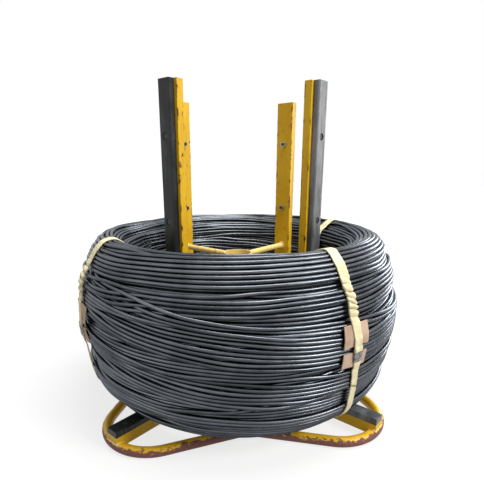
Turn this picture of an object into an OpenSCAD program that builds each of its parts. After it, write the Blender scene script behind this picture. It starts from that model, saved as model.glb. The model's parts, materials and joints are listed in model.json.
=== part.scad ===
// Coil of wire rod standing on a steel carrier.
// The carrier is a bent pipe loop with four arms, four posts and a centre tube.
// The Z axis is the coil's axis and z = 0 is the floor.

/* [Coil] */
// Outside diameter of the coil
coil_d = 960; // [900:5:1020]
// Width of the wound coil, from its bore to its outside
coil_w = 170; // [150:2:190]
// Height of the wound coil
coil_h = 454; // [400:2:500]
// Diameter of the wire rod
wire_d = 10; // [8:0.5:13]

/* [Straps] */
// Width of a binding strap
strap_w = 23; // [16:1:32]
// Thickness of a binding strap
strap_t = 2.5; // [1:0.1:4]
// Angles of the four straps about the axis, in degrees
strap_angles = [-15, 70.5, 167.5, 249];
// Width of a cardboard pad
pad_w = 78; // [60:1:90]
// Thickness of a cardboard pad
pad_t = 3; // [1.5:0.1:5]
// Height of the upper pad along the coil's side
pad_upper_h = 53; // [40:1:70]
// Height of the lower pad along the coil's side
pad_lower_h = 36; // [28:1:42]
// Height of the upper pad's lower edge above the coil's underside
pad_upper_z = 242; // [240:1:260]
// Height of the lower pad's lower edge above the coil's underside
pad_lower_z = 190; // [180:1:196]
// Length of a strap seal along its strap
seal_l = 23; // [18:1:30]
// Sheet thickness of a strap seal
seal_t = 1.6; // [1:0.1:2.5]
// Height of a seal's lower edge above the coil's underside
seal_z = 203; // [196:1:206]

/* [Base loop] */
// Outside diameter of the loop's pipe
pipe_d = 27.2; // [22:0.1:34]
// How far the pipe reaches past the coil's outside at a lobe's tip
tip_over = 13.6; // [0:0.2:30]
// Bend radius of the pipe's centre line round a lobe's tip
tip_bend_r = 129; // [110:1:145]
// How much nearer the axis the pipe lies at a waist than at a lobe's tip
lobe_depth = 165; // [150:1:180]
// Bend radius of the pipe's centre line at a waist
waist_bend_r = 93; // [70:1:110]

/* [Arms] */
// Width of an arm
arm_w = 40; // [34:1:50]
// Height of the arms' underside above the floor
arm_z = 12; // [8:0.5:18]
// Height of an arm's section
arm_h = 30; // [24:0.5:36]
// How far an arm reaches past the pipe's centre line at the tip
arm_reach = 8; // [4:0.5:12]
// Width of a bar that carries the coil
bar_w = 39; // [30:1:50]
// Thickness of a bar that carries the coil
bar_t = 16.5; // [10:0.5:24]
// Chamfer along a carrying bar's upper edges
bar_chamfer = 3; // [1:0.5:5]

/* [Posts] */
// Width of a post across its broad face
post_w = 58; // [46:1:70]
// Thickness of a post
post_t = 20; // [14:1:26]
// Gap between a wear strip and the coil's bore
strip_gap = 36; // [20:1:50]
// Height of the posts' tops above the floor
post_top = 895; // [880:5:980]
// Width of a wear strip
strip_w = 40; // [34:1:46]
// Thickness of a wear strip
strip_t = 17; // [15:0.5:20]
// Chamfer along a wear strip's outer edges
strip_chamfer = 2.5; // [1:0.5:4]

/* [Screws] */
// Height of the lowest screws above the posts' feet
screw_low = 96; // [60:1:130]
// Distance between neighbouring screws in a strip
screw_pitch = 209; // [180:1:230]
// Least distance of the highest screws below the posts' tops
screw_edge = 40; // [25:1:60]
// Nominal diameter of the screws
screw_d = 10; // [8:0.5:11]
// Diameter of a screw's round head
head_d = 16; // [14:0.5:17]
// Height of a screw's round head
head_h = 9.5; // [7:0.5:10]
// Diameter of the counterbore for a head
counterbore_d = 18; // [17.5:0.5:21]
// Depth of the counterbore for a head
counterbore_h = 11; // [10.5:0.5:12.5]
// Width of a nut across its flats
nut_af = 17; // [15:0.5:20]
// Thickness of a nut
nut_h = 8; // [6:0.5:10]
// Length of a screw that stands out past its nut
screw_stick = 3; // [1:0.5:6]

/* [Centre] */
// Outside diameter of the centre tube
tube_d = 90; // [76:1:108]
// Wall of the centre tube
tube_wall = 4; // [3:0.5:8]
// Height of the centre tube's top above the floor
tube_top = 434; // [425:1:470]
// Diameter of a spoke
spoke_d = 18; // [14:0.5:22]
// Distance of the spokes' centre line below the tube's top
spoke_drop = 12; // [11:0.5:30]

/* [Hidden] */
$fn = 96;
// Gap between a band or pad and the turns under it
seat = 0.3;
// Clearance of a screw in its hole, on the diameter
hole_gap = 1;
// Clearance of a nut on its screw, on the diameter
thread_gap = 0.2;
// Overrun of every cut
over = 2;
// Flats round a turn of the wire
turn_sides = 8;
// Distance between neighbouring turns, as a share of the wire's diameter
turn_pitch_share = 1.04;
// Outline of the coil's section through the centres of its outer turns, going round from the
// underside, up the outside, over the crest and down the bore: shares of width and height
coil_outline_shares = [
    [0.29, 0.00], [0.42, 0.002], [0.59, 0.022], [0.76, 0.09], [0.865, 0.205], [0.935, 0.35],
    [0.985, 0.47], [0.992, 0.54], [0.965, 0.66], [0.89, 0.775], [0.755, 0.885], [0.60, 0.97],
    [0.44, 0.998], [0.22, 0.965], [0.07, 0.91], [0.005, 0.82], [0.002, 0.62], [0.00, 0.40],
    [0.006, 0.18], [0.05, 0.06], [0.16, 0.008]];
// Places in that list of the outer side's foot and of the crest
foot = 2;
crest = 12;
// Points between two entries of that list
outline_steps = 8;

arms = [0, 90, 180, 270];
arm_top = arm_z + arm_h;
coil_r = coil_d / 2;
bore_r = coil_r - coil_w;
tip_r = coil_r + tip_over - pipe_d / 2;
waist_r = tip_r - lobe_depth;
arm_end = tip_r + arm_reach;
coil_z = arm_top + bar_t;
wire_r = wire_d / 2;
bar_r = bore_r - strip_gap;
strip_r = bar_r - strip_t;
post_r = strip_r - post_t;
spoke_z = tube_top - spoke_drop;
screw_zs = [for (z = arm_top + screw_low; z <= post_top - screw_edge; z = z + screw_pitch) z];

// Centres of the loop's bends and the straight runs between them
tip_c = tip_r - tip_bend_r;
waist_c = waist_r + waist_bend_r;
waist_at = [waist_c * cos(45), waist_c * sin(45)];
bend_gap = norm(waist_at - [tip_c, 0]);
bend_sum = tip_bend_r + waist_bend_r;
tip_turn = atan2(waist_at.y, waist_at.x - tip_c) - acos(bend_sum / bend_gap);
waist_turn = tip_turn - 45;
// Steps in a tip's bend and in a waist's, and flats round the pipe
tip_steps = 14;
waist_steps = 4;
pipe_sides = 24;
// Stops along the pipe's route: the centre and the angle of the outward direction there
function bend_stop(c, r, a, out) = [c + r * [cos(a), sin(a)], a + out];
lobe_route = concat(
    [for (k = [0 : tip_steps])
        bend_stop([tip_c, 0], tip_bend_r, tip_turn * (2 * k / tip_steps - 1), 0)],
    [for (k = [0 : waist_steps])
        bend_stop(waist_at, waist_bend_r, 225 + waist_turn * (1 - 2 * k / waist_steps), 180)]);
function swung(p, a) = [p.x * cos(a) - p.y * sin(a), p.x * sin(a) + p.y * cos(a)];
loop_route = [for (a = arms, stop = lobe_route) [swung(stop[0], a), stop[1] + a]];
function pipe_point(stop, u) = let (out = pipe_d / 2 * cos(u)) [
    stop[0].x + out * cos(stop[1]), stop[0].y + out * sin(stop[1]), pipe_d / 2 * (1 + sin(u))];

// The outline as a smooth closed curve, and its length up to each point
function spline(a, b, c, d, t) =
    (2 * b + (c - a) * t + (2 * a - 5 * b + 4 * c - d) * t * t + (3 * b - a - 3 * c + d) * t * t * t) / 2;
function place(share) = [
    bore_r + wire_r + share.x * (coil_w - wire_d),
    coil_z + wire_r + share.y * (coil_h - wire_d)];
marks = [for (share = coil_outline_shares) place(share)];
n_marks = len(marks);
loose_curve = [for (i = [0 : n_marks - 1], t = [0 : outline_steps - 1])
    spline(marks[(i + n_marks - 1) % n_marks], marks[i], marks[(i + 1) % n_marks],
        marks[(i + 2) % n_marks], t / outline_steps)];
// Lowered or raised so that the lowest turn lies on the carrying bars
settle = coil_z + wire_r - min([for (p = loose_curve) p.y]);
curve = [for (p = loose_curve) [p.x, p.y + settle]];
n_curve = len(curve);
curve_at = [for (i = 0, s = 0; i <= n_curve;
    s = s + norm(curve[(i + 1) % n_curve] - curve[i % n_curve]), i = i + 1) s];
curve_l = curve_at[n_curve];
along_r = [for (i = [0 : n_curve]) [curve_at[i], curve[i % n_curve].x]];
along_z = [for (i = [0 : n_curve]) [curve_at[i], curve[i % n_curve].y]];
up_side = [for (i = [foot * outline_steps : crest * outline_steps]) [curve[i].y, curve_at[i]]];

function wrap(s) = s < 0 ? s + curve_l : s > curve_l ? s - curve_l : s;
function on_curve(s) = [lookup(wrap(s), along_r), lookup(wrap(s), along_z)];
function outward(s) = let (d = on_curve(s + wire_r) - on_curve(s - wire_r)) [d.y, -d.x] / norm(d);
function lifted(s, out) = on_curve(s) + outward(s) * out;
function side_at(z) = lookup(coil_z + z, up_side);

n_turns = floor(curve_l / (wire_d * turn_pitch_share));
turn_pitch = curve_l / n_turns;
turns = [for (k = [0 : n_turns - 1]) k * turn_pitch];

// What lies on the outer turns, measured out from their centres
pad_in = wire_r + seat;
pad_out = pad_in + pad_t;
strap_on_pad = pad_out + seat;
pads_from = side_at(pad_lower_z) - turn_pitch;
pads_to = side_at(pad_upper_z + pad_upper_h) + turn_pitch;
function strap_in(s) = s > pads_from && s < pads_to ? strap_on_pad : pad_in;

// The coil, with a round for each turn that shows
module wire_coil() {
    color("#3a3e42")
    rotate_extrude() {
        polygon([for (s = turns) on_curve(s)]);
        for (s = turns) translate(on_curve(s)) circle(wire_r, $fn = turn_sides);
    }
}

// A band of one width round or along the coil's section, drawn in the plane through the axis
module band(width, outline) {
    rotate([90, 0, 0]) linear_extrude(width, center = true) polygon(outline);
}

// One closed strap, lifted where it crosses its pads
module strap(angle) {
    color("#e3d6a0")
    rotate(angle) difference() {
        band(strap_w, [for (s = turns) lifted(s, strap_in(s) + strap_t)]);
        band(strap_w + over, [for (s = turns) lifted(s, strap_in(s))]);
    }
}

// Outline of a piece that lies along the coil's side between two heights
function side_strip(z, h, from, to) = let (a = side_at(z), b = side_at(z + h), n = ceil(h / wire_d))
    concat([for (k = [0 : n]) lifted(a + (b - a) * k / n, to)],
        [for (k = [n : -1 : 0]) lifted(a + (b - a) * k / n, from)]);

// One cardboard pad, bent to the coil
module cardboard(angle, z, h) {
    span = 180 * pad_w / (PI * coil_r);
    color("#c9a98c")
    rotate(angle - span / 2) rotate_extrude(angle = span) polygon(side_strip(z, h, pad_in, pad_out));
}

// One seal, folded over the strap's face and edges
module seal(angle) {
    color("#4c4f52")
    difference() {
        rotate(angle) band(strap_w + 2 * seal_t,
            side_strip(seal_z, seal_l, strap_on_pad, strap_on_pad + strap_t + seal_t));
        rotate(angle) band(strap_w,
            side_strip(seal_z - over, seal_l + 2 * over, strap_on_pad - over, strap_on_pad + strap_t));
    }
}

// The space that the pipe takes up round one lobe's tip
module tip_bend() {
    translate([tip_c, 0, pipe_d / 2]) rotate(-tip_turn)
    rotate_extrude(angle = 2 * tip_turn) translate([tip_bend_r, 0]) circle(d = pipe_d);
}

// The bent pipe loop that the carrier stands on, swept along its route
module base_loop() {
    n = len(loop_route);
    color("#b8862a")
    polyhedron(
        [for (stop = loop_route, k = [0 : pipe_sides - 1]) pipe_point(stop, 360 * k / pipe_sides)],
        [for (i = [0 : n - 1], k = [0 : pipe_sides - 1])
            let (m = (k + 1) % pipe_sides, a = i * pipe_sides, b = ((i + 1) % n) * pipe_sides)
            [a + k, a + m, b + m, b + k]]);
}

// One arm, cut to the tube at its root and to the pipe at its tip
module arm(angle) {
    color("#d8a51f")
    rotate(angle) difference() {
        translate([0, -arm_w / 2, arm_z]) cube([arm_end, arm_w, arm_h]);
        translate([0, 0, arm_z - over]) cylinder(d = tube_d, h = arm_h + 2 * over);
        tip_bend();
    }
}

// A bar's section with its two outer edges chamfered
module eased_section(width, thick, chamfer) {
    polygon([[-width / 2, 0], [width / 2, 0], [width / 2, thick - chamfer], [width / 2 - chamfer, thick],
        [chamfer - width / 2, thick], [-width / 2, thick - chamfer]]);
}

// One bar that carries the coil
module arm_pad(angle) {
    color("#2b2d2e")
    rotate(angle) translate([bar_r, 0, arm_top]) rotate([90, 0, 90])
    linear_extrude(arm_end - bar_r) eased_section(bar_w, bar_t, bar_chamfer);
}

// Screw places on one post, each turned so that +Z points outward
module at_screws(r) {
    for (z = screw_zs) translate([r, 0, z]) rotate([0, 90, 0]) children();
}

// One post
module post(angle) {
    color("#d8a51f")
    rotate(angle) difference() {
        translate([post_r, -post_w / 2, arm_top]) cube([post_t, post_w, post_top - arm_top]);
        at_screws(post_r - over) cylinder(d = screw_d + hole_gap, h = post_t + 2 * over);
    }
}

// One wear strip with its counterbored holes
module wear_strip(angle) {
    color("#37393a")
    rotate(angle) difference() {
        translate([strip_r, 0, arm_top]) linear_extrude(post_top - arm_top)
            rotate(-90) eased_section(strip_w, strip_t, strip_chamfer);
        at_screws(strip_r - over) cylinder(d = screw_d + hole_gap, h = strip_t + 2 * over);
        at_screws(bar_r - counterbore_h) cylinder(d = counterbore_d, h = counterbore_h + over);
    }
}

// The screws, each from its head in the counterbore to its end past the nut
module strip_screws() {
    end_r = post_r - nut_h - screw_stick;
    seat_r = bar_r - counterbore_h;
    color("#6d7072")
    for (a = arms) rotate(a) {
        at_screws(end_r) cylinder(d = screw_d, h = seat_r - end_r);
        at_screws(seat_r) cylinder(d = head_d, h = head_h);
    }
}

// The nuts on the posts' inner faces
module strip_nuts() {
    color("#8e9092")
    for (a = arms) rotate(a) difference() {
        at_screws(post_r - nut_h) cylinder(d = nut_af / cos(30), h = nut_h, $fn = 6);
        at_screws(post_r - nut_h - over) cylinder(d = screw_d + thread_gap, h = nut_h + 2 * over);
    }
}

// The open tube on the axis
module centre_tube() {
    color("#d8b23c")
    translate([0, 0, arm_z]) difference() {
        cylinder(d = tube_d, h = tube_top - arm_z);
        translate([0, 0, -over]) cylinder(d = tube_d - 2 * tube_wall, h = tube_top - arm_z + 2 * over);
    }
}

// One round bar from the tube to a post
module spoke(angle) {
    color("#e0c060")
    rotate(angle) difference() {
        translate([0, 0, spoke_z]) rotate([0, 90, 0]) cylinder(d = spoke_d, h = post_r);
        translate([0, 0, spoke_z - spoke_d]) cylinder(d = tube_d, h = 2 * spoke_d);
    }
}

wire_coil();
strap(strap_angles[0]);  // strap_1
strap(strap_angles[1]);  // strap_2
strap(strap_angles[2]);  // strap_3
strap(strap_angles[3]);  // strap_4
seal(strap_angles[0]);  // seal_1
seal(strap_angles[1]);  // seal_2
seal(strap_angles[2]);  // seal_3
seal(strap_angles[3]);  // seal_4
cardboard(strap_angles[0], pad_upper_z, pad_upper_h);  // pad_upper_1
cardboard(strap_angles[1], pad_upper_z, pad_upper_h);  // pad_upper_2
cardboard(strap_angles[2], pad_upper_z, pad_upper_h);  // pad_upper_3
cardboard(strap_angles[3], pad_upper_z, pad_upper_h);  // pad_upper_4
cardboard(strap_angles[0], pad_lower_z, pad_lower_h);  // pad_lower_1
cardboard(strap_angles[1], pad_lower_z, pad_lower_h);  // pad_lower_2
cardboard(strap_angles[2], pad_lower_z, pad_lower_h);  // pad_lower_3
cardboard(strap_angles[3], pad_lower_z, pad_lower_h);  // pad_lower_4
base_loop();
arm(arms[0]);  // arm_1
arm(arms[1]);  // arm_2
arm(arms[2]);  // arm_3
arm(arms[3]);  // arm_4
arm_pad(arms[0]);  // arm_pad_1
arm_pad(arms[1]);  // arm_pad_2
arm_pad(arms[2]);  // arm_pad_3
arm_pad(arms[3]);  // arm_pad_4
post(arms[0]);  // post_1
post(arms[1]);  // post_2
post(arms[2]);  // post_3
post(arms[3]);  // post_4
wear_strip(arms[0]);  // wear_strip_1
wear_strip(arms[1]);  // wear_strip_2
wear_strip(arms[2]);  // wear_strip_3
wear_strip(arms[3]);  // wear_strip_4
strip_screws();
strip_nuts();
centre_tube();
spoke(arms[0]);  // spoke_1
spoke(arms[1]);  // spoke_2
spoke(arms[2]);  // spoke_3
spoke(arms[3]);  // spoke_4
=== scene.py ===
"""Looks of a coil of wire rod on its yellow carrier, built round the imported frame.

Lengths are in metres and angles in degrees unless a name says otherwise.
"""

import json
import logging
import math
from dataclasses import dataclass, field
from enum import Enum

import bpy
import numpy as np
from bpy.types import ID, Material, NodeSocket, NodeTree, Object
from mathutils import Matrix, Vector

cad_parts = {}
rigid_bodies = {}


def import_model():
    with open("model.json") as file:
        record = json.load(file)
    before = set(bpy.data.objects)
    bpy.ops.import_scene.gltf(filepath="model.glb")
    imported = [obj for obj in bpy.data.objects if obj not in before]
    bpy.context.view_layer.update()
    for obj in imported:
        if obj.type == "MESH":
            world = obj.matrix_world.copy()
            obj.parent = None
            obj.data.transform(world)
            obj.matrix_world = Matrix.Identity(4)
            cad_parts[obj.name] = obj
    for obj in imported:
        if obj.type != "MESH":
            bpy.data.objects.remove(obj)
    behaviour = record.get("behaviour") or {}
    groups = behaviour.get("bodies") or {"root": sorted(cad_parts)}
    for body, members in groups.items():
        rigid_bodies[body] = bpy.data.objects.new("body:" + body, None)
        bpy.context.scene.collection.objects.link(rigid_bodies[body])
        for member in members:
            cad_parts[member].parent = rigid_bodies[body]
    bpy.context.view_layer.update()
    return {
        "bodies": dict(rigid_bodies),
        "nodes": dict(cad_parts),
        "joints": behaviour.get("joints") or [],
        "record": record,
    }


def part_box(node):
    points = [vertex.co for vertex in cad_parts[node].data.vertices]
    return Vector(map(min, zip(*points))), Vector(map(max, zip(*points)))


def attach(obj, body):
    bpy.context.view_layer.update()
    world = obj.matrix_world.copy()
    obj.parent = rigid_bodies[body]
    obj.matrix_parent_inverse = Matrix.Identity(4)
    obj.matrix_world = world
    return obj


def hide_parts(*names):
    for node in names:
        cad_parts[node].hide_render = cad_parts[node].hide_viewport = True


LOG = logging.getLogger("wire_coil")
BODY = "root"

# Radius of the coil's bore
BORE_R = 0.310

# Angle about Z between the photograph's frame and the object's frame
PHOTO_TURN = 40.5

Pair = tuple[float, float]
Pairs = tuple[Pair, ...]
Triple = tuple[float, float, float]
Colour = Triple


class Field(Enum):
    """Coordinates that a finish may read."""

    OBJECT = "Object"
    UV = "UV"


# Helpers for meshes


def deselect() -> None:
    """Leaves nothing selected."""
    bpy.ops.object.select_all(action="DESELECT")


def pick(obj: Object) -> None:
    """Makes an object the only one selected, and active.

    Args:
        obj: the object.
    """
    deselect()
    obj.select_set(True)
    bpy.context.view_layer.objects.active = obj


def edit_all() -> None:
    """Enters edit mode with the whole of the active mesh selected."""
    bpy.ops.object.mode_set(mode="EDIT")
    bpy.ops.mesh.select_all(action="SELECT")


def link_new(name: str, data: ID) -> Object:
    """Puts a new object in the scene.

    Args:
        name: the object's name.
        data: its mesh, lamp or camera.

    Returns:
        The object.
    """
    obj = bpy.data.objects.new(name, data)
    bpy.context.collection.objects.link(obj)
    return obj


def name_piece(name: str) -> Object:
    """Names the active object and its mesh.

    Args:
        name: the piece's name.

    Returns:
        The active object.
    """
    obj = bpy.context.object
    obj.name = name
    obj.data.name = name
    return obj


def apply_modifier(obj: Object, kind: str, **settings: object) -> None:
    """Adds a modifier to an object, sets it and applies it.

    Args:
        obj: the object.
        kind: the modifier's type.
        **settings: its properties.
    """
    pick(obj)
    modifier = obj.modifiers.new(kind.title(), kind)
    for key, value in settings.items():
        setattr(modifier, key, value)
    bpy.ops.object.modifier_apply(modifier=modifier.name)


def join(objects: list[Object], name: str) -> Object:
    """Joins objects into the first of them.

    Args:
        objects: the objects, at least two.
        name: the joined piece's name.

    Returns:
        The joined object.
    """
    deselect()
    for obj in objects:
        obj.select_set(True)
    bpy.context.view_layer.objects.active = objects[0]
    bpy.ops.object.join()
    return name_piece(name)


def grid_mesh(name: str, points: np.ndarray, size: Pair, shift: np.ndarray, closed: bool) -> Object:
    """Makes one mesh of tubes from grids of points, whose columns run round a tube.

    Args:
        name: the piece's name.
        points: array of (grids, rows, columns, 3).
        size: extent of the UV map along the rows and round the columns.
        shift: start of each grid's map along the rows.
        closed: whether a tube's last row meets its first.

    Returns:
        The new object, shaded smooth, with its UV map.
    """
    grids, rows, cols = points.shape[:3]
    i, j = np.meshgrid(np.arange(rows if closed else rows - 1), np.arange(cols), indexing="ij")
    corners = [(i, j), (i + 1, j), (i + 1, j + 1), (i, j + 1)]
    quad = np.stack([(a % rows) * cols + b % cols for a, b in corners], -1).reshape(-1, 4)
    faces = (np.arange(grids)[:, None, None] * rows * cols + quad[None]).reshape(-1, 4)
    mesh = bpy.data.meshes.new(name)
    mesh.vertices.add(grids * rows * cols)
    mesh.vertices.foreach_set("co", points.astype(np.float32).ravel())
    mesh.loops.add(faces.size)
    mesh.loops.foreach_set("vertex_index", faces.astype(np.int32).ravel())
    mesh.polygons.add(len(faces))
    mesh.polygons.foreach_set("loop_start", np.arange(0, faces.size, 4, dtype=np.int32))
    mesh.polygons.foreach_set("use_smooth", np.ones(len(faces), dtype=bool))
    u = shift[:, None, None] + np.linspace(0, size[0], rows + 1)[None, :, None]
    uv = np.stack(np.broadcast_arrays(u, np.linspace(0, size[1], cols + 1)), -1)
    loops = np.stack([uv[:, a, b] for a, b in corners], -2)
    mesh.uv_layers.new(name="lay").data.foreach_set("uv", loops.astype(np.float32).ravel())
    mesh.update(calc_edges=True)
    mesh.validate()
    return link_new(name, mesh)


def close_shell(threshold: float) -> None:
    """Merges the active mesh's doubles, turns its faces outwards and shades it smooth.

    Args:
        threshold: distance under which two points are one.
    """
    edit_all()
    bpy.ops.mesh.remove_doubles(threshold=threshold)
    bpy.ops.mesh.normals_make_consistent(inside=False)
    bpy.ops.object.mode_set(mode="OBJECT")
    bpy.ops.object.shade_smooth()


def add_attribute(obj: Object, name: str, values: np.ndarray) -> None:
    """Stores one number for each vertex of an object's mesh."""
    attribute = obj.data.attributes.new(name, "FLOAT", "POINT")
    attribute.data.foreach_set("value", values.astype(np.float32).ravel())


def finish_piece(obj: Object, material: Material, slot: str, *nodes: str) -> None:
    """Dresses a piece, puts it on the body and hides the CAD nodes that it replaces.

    Args:
        obj: the piece.
        material: its finish.
        slot: the record's material slot; not used.
        *nodes: the CAD nodes that it replaces.
    """
    obj.data.materials.clear()
    obj.data.materials.append(material)
    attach(obj, BODY)
    if nodes:
        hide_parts(*nodes)
    obj.data.calc_loop_triangles()
    LOG.info("%s: %d triangles", obj.name, len(obj.data.loop_triangles))


# Helpers for finishes


@dataclass(frozen=True)
class Grain:
    """One noise: its frequency, octaves, weight of the finer ones, distortion and stretch."""

    scale: float
    detail: float = 3.0
    rough: float = 0.55
    warp: float = 0.0
    stretch: Triple = (1, 1, 1)
    source: Field = Field.OBJECT


class Nodes:
    """A node tree while it is put together."""

    def __init__(self, tree: NodeTree) -> None:
        """Works on a tree that exists."""
        self.tree = tree

    def feed(self, socket: NodeSocket, value: object) -> None:
        """Links a socket to another, or sets its number or colour.

        Args:
            socket: the socket that is fed.
            value: another socket, a number or a colour.
        """
        if isinstance(value, NodeSocket):
            self.tree.links.new(value, socket)
        elif isinstance(value, tuple) and len(value) == 3 and socket.type == "RGBA":
            socket.default_value = (*value, 1.0)
        else:
            socket.default_value = value

    def node(self, kind: str, inputs: dict[str | int, object], output: str | int = 0,
             **settings: object) -> NodeSocket:
        """Adds a node, sets it and feeds it.

        Args:
            kind: the node's type.
            inputs: what each of its sockets is fed, by name or number.
            output: the output that is wanted.
            **settings: the node's properties.

        Returns:
            The output socket.
        """
        node = self.tree.nodes.new(kind)
        for key, value in settings.items():
            setattr(node, key, value)
        for key, value in inputs.items():
            self.feed(node.inputs[key], value)
        return node.outputs[output]

    def math(self, operation: str, a: object, b: object = 0.0) -> NodeSocket:
        """Works out one number from two."""
        return self.node("ShaderNodeMath", {0: a, 1: b}, operation=operation)


class Shader(Nodes):
    """One Principled material while its nodes are put together."""

    def __init__(self, name: str) -> None:
        """Starts a plain material.

        Args:
            name: the material's name.
        """
        self.material = bpy.data.materials.new(name)
        self.material.use_nodes = True
        super().__init__(self.material.node_tree)
        self.bsdf = next(n for n in self.tree.nodes if n.type == "BSDF_PRINCIPLED")

    def set(self, name: str, value: object) -> None:
        """Sets or links one of the shader's own sockets."""
        self.feed(self.bsdf.inputs[name], value)

    def coords(self, source: Field, scale: Triple = (1, 1, 1)) -> NodeSocket:
        """Gives coordinates on the piece, stretched along each axis."""
        where = self.node("ShaderNodeTexCoord", {}, source.value)
        return self.node("ShaderNodeMapping", {"Vector": where, "Scale": scale})

    def attribute(self, name: str) -> NodeSocket:
        """Reads a number stored on the mesh."""
        return self.node("ShaderNodeAttribute", {}, "Fac", attribute_name=name)

    def noise(self, grain: Grain) -> NodeSocket:
        """Gives a noise between 0 and 1.

        Args:
            grain: the noise's settings.

        Returns:
            The value socket.
        """
        where = self.coords(grain.source, grain.stretch)
        weights = {"Detail": grain.detail, "Roughness": grain.rough, "Distortion": grain.warp}
        return self.node("ShaderNodeTexNoise", {"Vector": where, "Scale": grain.scale, **weights})

    def axis(self, vector: NodeSocket, letter: str) -> NodeSocket:
        """Gives one part of a vector."""
        return self.node("ShaderNodeSeparateXYZ", {0: vector}, letter)

    def between(self, value: object, low: float, high: float, out: Pair = (0.0, 1.0)) -> NodeSocket:
        """Maps a value from low and high to two results, with a smooth passage."""
        ends = {"From Min": low, "From Max": high, "To Min": out[0], "To Max": out[1]}
        return self.node("ShaderNodeMapRange", {"Value": value, **ends}, interpolation_type="SMOOTHSTEP")

    def mix(self, share: object, a: object, b: object) -> NodeSocket:
        """Mixes two colours by the second one's share, from 0 to 1."""
        return self.node("ShaderNodeMix", {0: share, 6: a, 7: b}, 2, data_type="RGBA")

    def bump(self, height: NodeSocket, depth: float, strength: float = 1.0) -> None:
        """Raises the surface by a share of a depth."""
        self.set("Normal", self.node("ShaderNodeBump", {"Strength": strength, "Distance": depth, "Height": height}))


# Finishes


@dataclass(frozen=True)
class Finish:
    """What every finish shares."""

    name: str

    def material(self) -> Material:
        """Builds the material.

        Returns:
            The material.
        """
        s = Shader(self.name)
        self.shade(s)
        return s.material

    def shade(self, s: Shader) -> None:
        """Puts the finish's own nodes together."""
        raise NotImplementedError


@dataclass(frozen=True)
class WireFinish(Finish):
    """Drawn steel wire under a thin dark phosphate film."""

    name: str = "drawn_wire"
    dark: Colour = (0.024, 0.028, 0.032)
    pale: Colour = (0.152, 0.163, 0.178)
    edge: Colour = (0.74, 0.76, 0.80)
    # Painted light: range from the painted shade on a wire's under side to the painted highlight on its upper side
    painted_light: Pair = (-0.50, 0.40)
    lines: Grain = Grain(3.0, 4.0, stretch=(2.0, 9.0, 1.0), source=Field.UV)
    patches: Grain = Grain(16.0, 4.0, 0.6)

    def shade(self, s: Shader) -> None:
        """Reads the wire's UV map and tone.

        Each wire is darkened on its under side as painted shade and lightened on its upper side as a painted
        highlight.

        Args:
            s: the material.
        """
        s.set("Metallic", 1.0)
        lines = s.noise(self.lines)
        patches = s.noise(self.patches)
        tone = s.attribute("tone")
        share = s.math("ADD", s.between(patches, 0.35, 0.75, (0.0, 0.30)), s.math("MULTIPLY", tone, 0.45))
        # Painted light: the angle round each wire makes its upper side paler and its under side darker
        upper = s.math("SINE", s.math("MULTIPLY", s.axis(s.coords(Field.UV), "Y"), 2 * math.pi))
        share = s.math("ADD", share, s.between(upper, -0.7, 0.9, self.painted_light))
        film_and_painted_light = s.mix(share, self.dark, self.pale)
        s.set("Base Color", s.mix(s.between(lines, 0.55, 0.8, (0.0, 0.35)), film_and_painted_light, self.pale))
        s.set("Roughness", s.between(s.math("ADD", lines, patches), 0.7, 1.3, (0.23, 0.37)))
        s.set("Specular Tint", self.edge)
        s.bump(lines, 0.0003, 0.5)


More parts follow.
